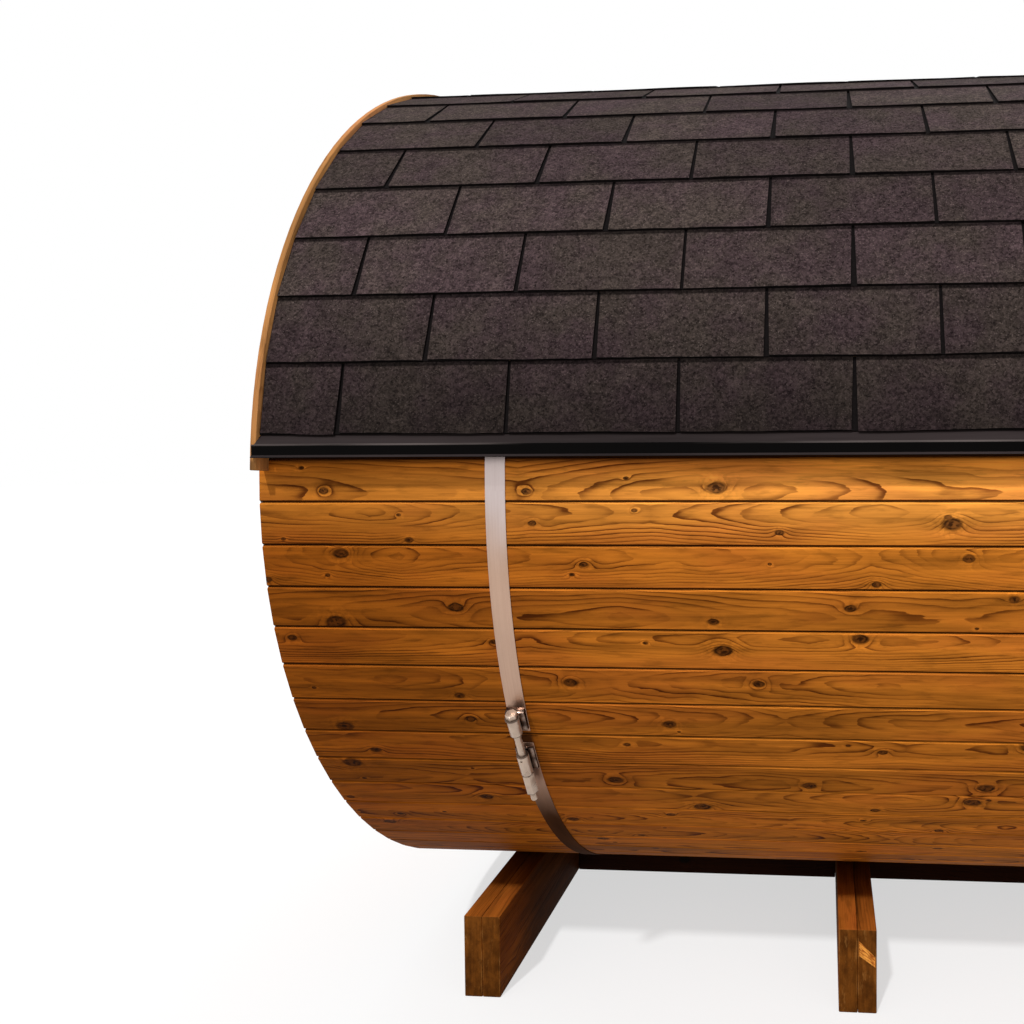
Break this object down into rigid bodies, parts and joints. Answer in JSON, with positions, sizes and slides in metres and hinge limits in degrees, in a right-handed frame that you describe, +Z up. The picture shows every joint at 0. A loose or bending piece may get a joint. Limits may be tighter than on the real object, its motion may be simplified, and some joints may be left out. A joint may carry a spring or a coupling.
{
  "type": "barrel sauna",
  "caption": "Round sauna hut of bevelled timber staves held by steel hoops with bolt tensioners, a shingled upper half with drip edges, boarded ends with a door, on cradle feet.",
  "frame": {"origin": "on the ground, in the middle of the object's length and width", "axes": "+X along the barrel towards the end with the door, -Y towards the side with the tensioners, +Z up"},
  "size_m": [3.3, 2.3614, 2.423],
  "materials": {
    "stave_wood": "stained pine, satin",
    "end_wood": "stained pine, satin",
    "roof_board": "sawn",
    "edge_wood": "planed, light",
    "foot_wood": "dark stained, sawn",
    "shingle": "mineral granules, matte",
    "drip_metal": "black, semi-matte",
    "hoop_steel": "brushed",
    "hinge_metal": "black, matte"
  },
  "bodies": {
    "root": {"bottom_staves": "stave_wood", "near_lower_staves": "stave_wood", "near_side_staves": "stave_wood", "near_middle_staves": "stave_wood", "near_upper_staves": "stave_wood", "near_crown_staves": "stave_wood", "far_lower_staves": "stave_wood", "far_side_staves": "stave_wood", "far_middle_staves": "stave_wood", "far_upper_staves": "stave_wood", "far_crown_staves": "stave_wood", "near_roof_boards": "roof_board", "far_roof_boards": "roof_board", "near_shingles": "shingle", "far_shingles": "shingle", "ridge_cap": "shingle", "left_roof_edge": "edge_wood", "right_roof_edge": "edge_wood", "near_drip_edge": "drip_metal", "far_drip_edge": "drip_metal", "left_hoop": "hoop_steel", "right_hoop": "hoop_steel", "left_hoop_lugs": "hoop_steel", "right_hoop_lugs": "hoop_steel", "left_hoop_sleeves": "hoop_steel", "right_hoop_sleeves": "hoop_steel", "left_hoop_bolt": "hoop_steel", "right_hoop_bolt": "hoop_steel", "left_end_foot": "foot_wood", "left_inner_foot": "foot_wood", "right_inner_foot": "foot_wood", "right_end_foot": "foot_wood", "near_tie_boards": "foot_wood", "far_tie_boards": "foot_wood", "left_end_wall": "end_wood", "right_wall_near_boards": "end_wood", "right_wall_far_boards": "end_wood", "right_wall_top_boards": "end_wood", "right_wall_sill_boards": "end_wood", "door_frame": "end_wood", "door_leaf": "end_wood", "door_ledges": "end_wood", "door_hinges": "hinge_metal", "door_grip": "edge_wood"}
  },
  "joints": []
}
